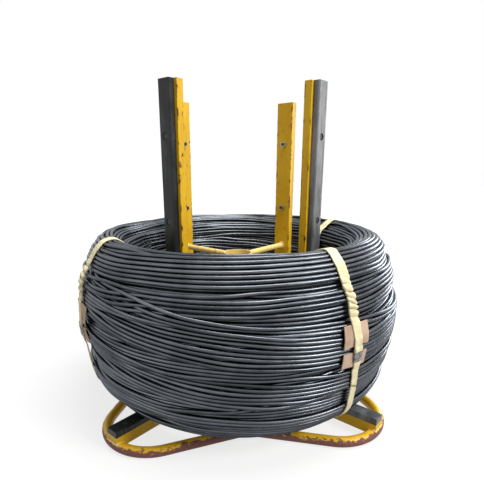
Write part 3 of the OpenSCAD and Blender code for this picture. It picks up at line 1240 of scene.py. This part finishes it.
    def tail(self) -> Object:
        """Makes the strap's free end, folded over above the seal.

        Returns:
            The object.
        """
        rows, cols = 17, 9
        share = np.linspace(0, 1, rows)[:, None]
        v = np.linspace(-1, 1, cols)[None]
        z = self.seal_z + self.seal_l / 2 - self.tail_tuck + self.tail_l * share + self.tail_skew * v * share
        puff = self.tail_puff * np.sin(np.pi * np.clip(share * 1.15, 0, 1)) ** 0.7 * (0.75 + 0.25 * np.cos(3 * v + 2))
        base = self.surface(z) + self.thick * 0.8
        half = self.width / 2 * (0.93 + 0.12 * np.sin(np.pi * share))
        aside = half * v + self.tail_aside * share
        sides = (np.stack([base + puff, z], -1), np.stack([base, z], -1))
        obj = self.shell("strap_end", sides, aside, self.angle_at(z), self.tail_l, False)
        # Painted shade: the flap is darkened towards its folded and tucked ends
        edge = -1.1 * (np.abs(share - 0.5) * 2) ** 4 + 0 * v
        add_attribute(obj, "crease_shade", np.concatenate([edge, edge], axis=1))
        return obj

    def surface(self, z: np.ndarray | float) -> np.ndarray:
        """Finds the strap's bed on the coil's outer side.

        Args:
            z: heights.

        Returns:
            The bed's radius at each height.
        """
        side = self.out[:, 0] > self.outer_from
        order = np.argsort(self.path[side, 1])
        return np.interp(z, self.path[side, 1][order], self.path[side, 0][order])

    def pad(self, name: str, span: Pair, skew: float, shift: float) -> Object:
        """Bends a cardboard pad to the coil under the strap.

        Args:
            name: the piece's name.
            span: heights of its lower and upper edge.
            skew: turn of the pad in its own plane.
            shift: distance aside from the strap.

        Returns:
            The object.
        """
        tall = span[1] - span[0]
        deselect()
        bpy.ops.mesh.primitive_grid_add(x_subdivisions=self.pad_cuts, y_subdivisions=self.pad_cuts, size=1.0)
        obj = name_piece(name)
        middle = sum(span) / 2
        sag = self.pad_thick + self.pad_bed
        for vertex in obj.data.vertices:
            across, up = vertex.co.x * self.pad_w, vertex.co.y * tall
            side = across * math.cos(skew) - up * math.sin(skew)
            z = middle + across * math.sin(skew) + up * math.cos(skew)
            wave = math.sin(40 * side + 60 * z) + 0.5 * math.sin(190 * side - 70 * z + 2)
            curl = self.pad_curl * (2 * vertex.co.x) ** 4 + self.course.crumple * wave
            radius = float(self.surface(z)) - sag + curl
            turn = math.radians(float(self.angle_at(middle))) + (side + shift) / radius
            vertex.co = (radius * math.cos(turn), radius * math.sin(turn), z)
        edit_all()
        bpy.ops.mesh.normals_make_consistent(inside=False)
        bpy.ops.object.mode_set(mode="OBJECT")
        out = sum(p.normal.dot(Vector((p.center.x, p.center.y, 0))) for p in obj.data.polygons)
        thickness = self.pad_thick * self.pad_solid
        apply_modifier(obj, "SOLIDIFY", thickness=thickness, offset=1.0 if out > 0 else -1.0)
        apply_modifier(obj, "BEVEL", width=self.pad_edge, segments=1, limit_method="ANGLE")
        return obj

    def seal(self) -> Object:
        """Folds a steel seal over the strap.

        Returns:
            The object.
        """
        deselect()
        bpy.ops.mesh.primitive_cube_add(size=1.0)
        obj = name_piece(f"strap_seal_{self.course.number}")
        obj.scale = (self.thick + self.seal_over[0], self.width + self.seal_over[1], self.seal_l)
        bpy.ops.object.transform_apply(location=False, rotation=False, scale=True)
        edit_all()
        bpy.ops.mesh.subdivide(number_cuts=self.seal_cuts)
        bpy.ops.object.mode_set(mode="OBJECT")
        for vertex in obj.data.vertices:
            aside, up = abs(2 * vertex.co.y / self.width), vertex.co.z / self.seal_l
            pinch = sum(math.exp(-((up - c) / self.crimp_w) ** 2) for c in self.crimps)
            vertex.co.y *= 1 - self.crimp_in * pinch
            if vertex.co.x > 0:
                vertex.co.x -= self.crimp_dent * pinch * aside**3 - self.seal_crown * (1 - aside**2)
        apply_modifier(obj, "BEVEL", width=self.seal_edge, segments=2, limit_method="ANGLE",
                       angle_limit=math.radians(50))
        apply_modifier(obj, "SUBSURF", levels=1, render_levels=1)
        z = self.seal_z
        radius = float(self.surface(z)) + self.seal_lift
        rise = float(self.surface(z + self.lean_span) - self.surface(z - self.lean_span))
        lean = math.atan2(rise, 2 * self.lean_span)
        turn = math.radians(float(self.angle_at(z)))
        place = Matrix.Rotation(turn, 4, "Z") @ Matrix.Translation((radius, 0, z)) @ Matrix.Rotation(lean, 4, "Y")
        obj.data.transform(place)
        bpy.ops.object.shade_smooth()
        return obj

    def build(self, paper: Material, card: Material, steel: Material) -> None:
        """Makes the strap, its pads and its seal.

        Args:
            paper: the strap's finish.
            card: the pads' finish.
            steel: the seal's finish.
        """
        self.trace()
        k = self.course.number
        finish_piece(join([self.band(), self.tail()], f"paper_strap_{k}"), paper, "strap", f"strap_{k}")
        spans = (self.upper, self.lower)
        for level, span, skew, shift in zip(("upper", "lower"), spans, self.course.pads_skew, self.course.pads_aside):
            pad = self.pad(f"card_{level}_{k}", span, math.radians(skew), shift)
            finish_piece(pad, card, "cardboard", f"pad_{level}_{k}")
        finish_piece(self.seal(), steel, "seal", f"seal_{k}")


# The carrier


@dataclass
class BaseLoop:
    """The bent pipe under the carrier."""

    pipe_d: float = 0.0272
    tip_r: float = 0.480
    tip_bend: float = 0.129
    waist_r: float = 0.315
    waist_bend: float = 0.093
    sides: int = 32
    tip_steps: int = 24
    waist_steps: int = 8
    merge: float = 0.0004
    worn_out: float = 0.75
    worn_down: float = 0.8

    def build(self, finish: PipeFinish) -> None:
        """Bends one lobe out of a ring, copies it round and closes the loop.

        Args:
            finish: the pipe's finish.
        """
        mid = self.pipe_d / 2
        tip_x = self.tip_r - self.tip_bend
        waist = (self.waist_r + self.waist_bend) * math.sqrt(0.5)
        gap = Vector((waist - tip_x, waist))
        both = self.tip_bend + self.waist_bend
        run = math.sqrt(gap.length**2 - both**2)
        tip_turn = math.atan2(gap.y, gap.x) - math.acos(both / gap.length)
        waist_turn = tip_turn - math.pi / 4
        start = -tip_turn
        deselect()
        bpy.ops.mesh.primitive_circle_add(
            vertices=self.sides, radius=mid,
            location=(tip_x + self.tip_bend * math.cos(start), self.tip_bend * math.sin(start), mid),
            rotation=(math.pi / 2, 0, start))
        bpy.ops.object.transform_apply(location=True, rotation=True, scale=True)
        edit_all()
        bpy.ops.mesh.spin(
            steps=self.tip_steps, angle=-2 * tip_turn, center=(tip_x, 0, mid), axis=(0, 0, 1))
        ahead = Vector((math.sin(start), math.cos(start), 0)) * run
        bpy.ops.mesh.extrude_region_move(TRANSFORM_OT_translate={"value": ahead})
        bpy.ops.mesh.spin(
            steps=self.waist_steps, angle=2 * waist_turn, center=(waist, waist, mid), axis=(0, 0, 1))
        back = Matrix.Rotation(math.pi / 2, 3, "Z") @ Vector((-ahead.x, ahead.y, 0))
        bpy.ops.mesh.extrude_region_move(TRANSFORM_OT_translate={"value": back})
        bpy.ops.object.mode_set(mode="OBJECT")
        lobe = bpy.context.object
        lobes = [lobe]
        for k in range(1, 4):
            twin = lobe.data.copy()
            twin.transform(Matrix.Rotation(k * math.pi / 2, 4, "Z"))
            lobes.append(link_new("pipe_lobe", twin))
        loop = join(lobes, "pipe_loop")
        close_shell(self.merge)
        facing = [v.normal.dot(Vector((v.co.x, v.co.y, 0)).normalized()) * self.worn_out - v.normal.z * self.worn_down
                  for v in loop.data.vertices]
        add_attribute(loop, "outside", np.array(facing))
        finish_piece(loop, finish.material(), "worn_paint", "base_loop")


@dataclass
class Welds:
    """Weld beads where the carrier's members meet."""

    bead: float = 0.0032
    spoke_z: float = 0.422
    collars: Pairs = ((0.2362, 0.010), (0.0456, 0.0098))
    post_r: float = 0.237
    post_out: float = 0.257
    half_arm: float = 0.0206
    half_end: float = 0.02
    post_z: float = 0.0425
    end_r: float = 0.4885
    end_z: float = 0.0245
    saddle: Pairs = ((0.4668, 0.013), (0.4708, 0.0235), (0.4718, 0.0246), (0.486, 0.0262))

    def ring(self, centre: Vector, along_axis: Vector, radius: float) -> list[Matrix]:
        """Places beads on a ring round an axis.

        Args:
            centre: the ring's middle.
            along_axis: the ring's axis.
            radius: the ring's radius.

        Returns:
            One placement for each bead.
        """
        count = max(8, round(2 * math.pi * radius / (1.25 * self.bead)))
        frame = along_axis.to_track_quat("Z", "Y").to_matrix().to_4x4()
        places = []
        for k in range(count):
            turn = 2 * math.pi * k / count
            size = self.bead * (1 + 0.22 * math.sin(5.3 * k + 3 * centre.x * 100))
            spot = frame @ Matrix.Translation((radius * math.cos(turn), radius * math.sin(turn), 0))
            places.append(Matrix.Translation(centre) @ spot @ Matrix.Scale(size, 4))
        return places

    def run(self, start: Vector, end: Vector) -> list[Matrix]:
        """Places beads along a straight joint.

        Args:
            start: the joint's first end.
            end: its other end.

        Returns:
            One placement for each bead.
        """
        count = max(3, round((end - start).length / (1.2 * self.bead)))
        return [Matrix.Translation(start.lerp(end, k / count)) @ Matrix.Scale(
            self.bead * (1 + 0.2 * math.sin(4.7 * k)), 4) for k in range(count + 1)]

    def build(self, material: Material) -> None:
        """Makes all beads as one piece.

        Args:
            material: the beads' finish.
        """
        places: list[Matrix] = []
        for k in range(4):
            turn = Matrix.Rotation(k * math.pi / 2, 4, "Z")
            ax = turn @ Vector((1, 0, 0))
            side = turn @ Vector((0, 1, 0))
            up = Vector((0, 0, 1))
            for out, radius in self.collars:
                places += self.ring(ax * out + up * self.spoke_z, ax, radius)
            for sign in (-1, 1):
                edge = side * sign * self.half_arm
                low, bend, over, end = (ax * r + edge + up * z for r, z in self.saddle)
                places += self.run(low, bend) + self.run(over, end)
                foot = edge + up * self.post_z
                places += self.run(ax * self.post_r + foot, ax * self.post_out + foot)
            tip = ax * self.end_r + up * self.end_z
            places += self.run(tip - side * self.half_end, tip + side * self.half_end)
        deselect()
        bpy.ops.mesh.primitive_ico_sphere_add(subdivisions=1, radius=1.0)
        seed = bpy.context.object
        base = np.array([v.co for v in seed.data.vertices])
        faces = np.array([p.vertices for p in seed.data.polygons])
        points = np.concatenate([base @ np.array(m.to_3x3()).T + np.array(m.translation) for m in places])
        corners = np.concatenate([faces + k * len(base) for k in range(len(places))])
        bpy.data.objects.remove(seed)
        mesh = bpy.data.meshes.new("weld_beads")
        mesh.from_pydata(points.tolist(), [], corners.tolist())
        obj = link_new("weld_beads", mesh)
        pick(obj)
        bpy.ops.object.shade_smooth()
        finish_piece(obj, material, "yellow_paint")


@dataclass
class Carrier:
    """The steel carrier, which keeps its CAD shapes and gets its finishes here."""

    nodes: dict[str, Object]

    def dress(self, material: Material, *stems: str) -> None:
        """Puts one finish on every node whose name starts with a stem.

        Args:
            material: the finish.
            *stems: starts of the nodes' names.
        """
        for name, obj in self.nodes.items():
            if name.startswith(stems):
                for slot in obj.material_slots:
                    slot.material = material
                LOG.info("%s: %s", name, material.name)

    def build(self) -> None:
        """Dresses the members and adds the loop and the welds."""
        yellow = PaintFinish("yellow_paint", (0.62, 0.355, 0.006), (0.71, 0.43, 0.012)).material()
        pale = PaintFinish("pale_paint", (0.80, 0.58, 0.17), (0.84, 0.66, 0.28), grime=0.35).material()
        self.dress(yellow, "post_", "arm_1", "arm_2", "arm_3", "arm_4")
        self.dress(pale, "spoke_", "centre_tube")
        black = BarFinish("black_bar").material()
        # Pad and strip 1 on the lit right side: a paler, shinier copy of the black bar, its scuffs real wear and its
        # paler tone painted light
        painted_light = BarFinish("painted_light_bar", (0.040, 0.042, 0.045), (0.20, 0.205, 0.215), 0.40, 0.5).material()
        self.dress(black, "arm_pad_", "wear_strip_")
        self.dress(painted_light, "arm_pad_1", "wear_strip_1")
        # The screw ends are dark steel, and their darkness also stands as painted shade in the middle of each nut
        self.dress(MetalFinish("dark_screw_painted_shade", (0.055, 0.054, 0.052), (0.028, 0.025, 0.022)).material(), "strip_screws")
        self.dress(MetalFinish("zinc_nut", (0.40, 0.37, 0.31), (0.20, 0.18, 0.14)).material(), "strip_nuts")
        BaseLoop().build(PipeFinish())
        Welds().build(pale)


# The studio


@dataclass(frozen=True)
class Lamp:
    """A soft lamp, placed in the photograph's own frame: right, away, up."""

    name: str
    spot: Triple
    size: float
    power: float


@dataclass
class Studio:
    """Camera, lamps and floor."""

    frame_w: int = 484
    frame_h: int = 480
    focal_px: float = 401.6
    centre_px: Pair = (238.3, 274.3)
    pitch: float = 15.04
    distance: float = 1.238
    height: float = 0.694
    sensor: float = 36.0
    lamps: tuple[Lamp, ...] = (
        Lamp("sky", (0.4, -0.1, 3.2), 1.9, 84), Lamp("right", (2.5, -1.5, 2.1), 1.1, 76),
        Lamp("far", (2.9, 2.3, 1.2), 1.4, 60), Lamp("left", (-2.6, -1.6, 1.3), 1.6, 6))
    aim: Triple = (0.0, 0.0, 0.3)
    white: Colour = (1.0, 1.0, 1.0)
    seen: float = 1.0
    sky_lit: float = 0.38
    floor_lit: float = 0.3
    floor_base: Colour = (0.24, 0.24, 0.238)
    floor_glow: Pair = (0.76, 1.0)
    glow_span: Pair = (0.6, 2.2)
    floor_size: float = 30.0
    floor_drop: float = 0.0005

    def turned(self, spot: Triple) -> Vector:
        """Turns a place from the photograph's frame to the object's."""
        return Matrix.Rotation(math.radians(PHOTO_TURN), 3, "Z") @ Vector(spot)

    def camera(self) -> None:
        """Sets the camera at the photograph's viewing angle."""
        data = bpy.data.cameras.new("photo_camera")
        data.sensor_fit = "HORIZONTAL"
        data.sensor_width = self.sensor
        data.lens = self.focal_px / self.frame_w * self.sensor
        data.shift_x = (self.frame_w / 2 - self.centre_px[0]) / self.frame_w
        data.shift_y = (self.centre_px[1] - self.frame_h / 2) / self.frame_w
        data.clip_end = 50
        camera = link_new("photo_camera", data)
        camera.location = self.turned((0, -self.distance, self.height))
        camera.rotation_euler = (math.radians(90 - self.pitch), 0, math.radians(PHOTO_TURN))
        bpy.context.scene.camera = camera

    def light(self, lamp: Lamp) -> None:
        """Hangs one lamp.

        Args:
            lamp: the lamp.
        """
        data = bpy.data.lights.new(lamp.name, "AREA")
        data.shape = "DISK"
        data.size = lamp.size
        data.energy = lamp.power
        obj = link_new(lamp.name, data)
        obj.location = self.turned(lamp.spot)
        obj.rotation_euler = (obj.location - Vector(self.aim)).to_track_quat("Z", "Y").to_euler()

    def pale_to_rays(self, nodes: Nodes, lit: float) -> NodeSocket:
        """Gives a strength that is one value for camera, glossy and transmitted rays and another for the rest.

        Args:
            nodes: the node tree.
            lit: strength for the rest, which light the part.

        Returns:
            The strength socket.
        """
        either: object = 0.0
        for kind in ("Camera", "Glossy", "Transmission"):
            either = nodes.math("MAXIMUM", either, nodes.node("ShaderNodeLightPath", {}, f"Is {kind} Ray"))
        return nodes.node("ShaderNodeMapRange", {"Value": either, "To Min": lit, "To Max": self.seen})

    def world(self) -> None:
        """Lights the scene with an even pale sky."""
        world = bpy.context.scene.world or bpy.data.worlds.new("World")
        bpy.context.scene.world = world
        world.use_nodes = True
        nodes = Nodes(world.node_tree)
        nodes.tree.nodes.clear()
        strength = self.pale_to_rays(nodes, self.sky_lit)
        back = nodes.node("ShaderNodeBackground", {"Color": self.white, "Strength": strength})
        out = nodes.tree.nodes.new("ShaderNodeOutputWorld")
        nodes.feed(out.inputs["Surface"], back)

    def floor(self) -> None:
        """Lays a plain pale floor."""
        deselect()
        bpy.ops.mesh.primitive_plane_add(size=self.floor_size, location=(0, 0, -self.floor_drop))
        obj = name_piece("pale_floor")
        s = Shader("pale_floor")
        s.set("Roughness", 0.9)
        away = s.node("ShaderNodeVectorMath", {0: s.coords(Field.OBJECT)}, "Value", operation="LENGTH")
        s.set("Base Color", self.floor_base)
        s.set("Specular IOR Level", 0.0)
        s.set("Emission Color", self.white)
        glow = s.between(away, *self.glow_span, self.floor_glow)
        s.set("Emission Strength", s.math("MULTIPLY", glow, self.pale_to_rays(s, self.floor_lit)))
        obj.data.materials.append(s.material)

    def build(self) -> None:
        """Sets up the whole studio."""
        bpy.context.scene.view_settings.view_transform = "Standard"
        self.camera()
        for lamp in self.lamps:
            self.light(lamp)
        self.world()
        self.floor()


def main() -> None:
    """Builds the studio, the coil, its straps and the carrier."""
    logging.basicConfig(level=logging.INFO, format="%(name)s: %(message)s")
    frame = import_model()
    Studio().build()
    low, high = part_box("wire_coil")
    coil = WireCoil(Section(bore_r=BORE_R, outer_r=high[0], low_z=low[2], high_z=high[2]))
    coil.build(WireFinish())
    paper = PaperFinish().material()
    card = CardboardFinish().material()
    steel = MetalFinish("seal_steel", (0.26, 0.265, 0.27), (0.045, 0.045, 0.048)).material()
    for course in COURSES:
        Strap(course, coil).build(paper, card, steel)
    Carrier(frame["nodes"]).build()


if __name__ == "__main__":
    main()
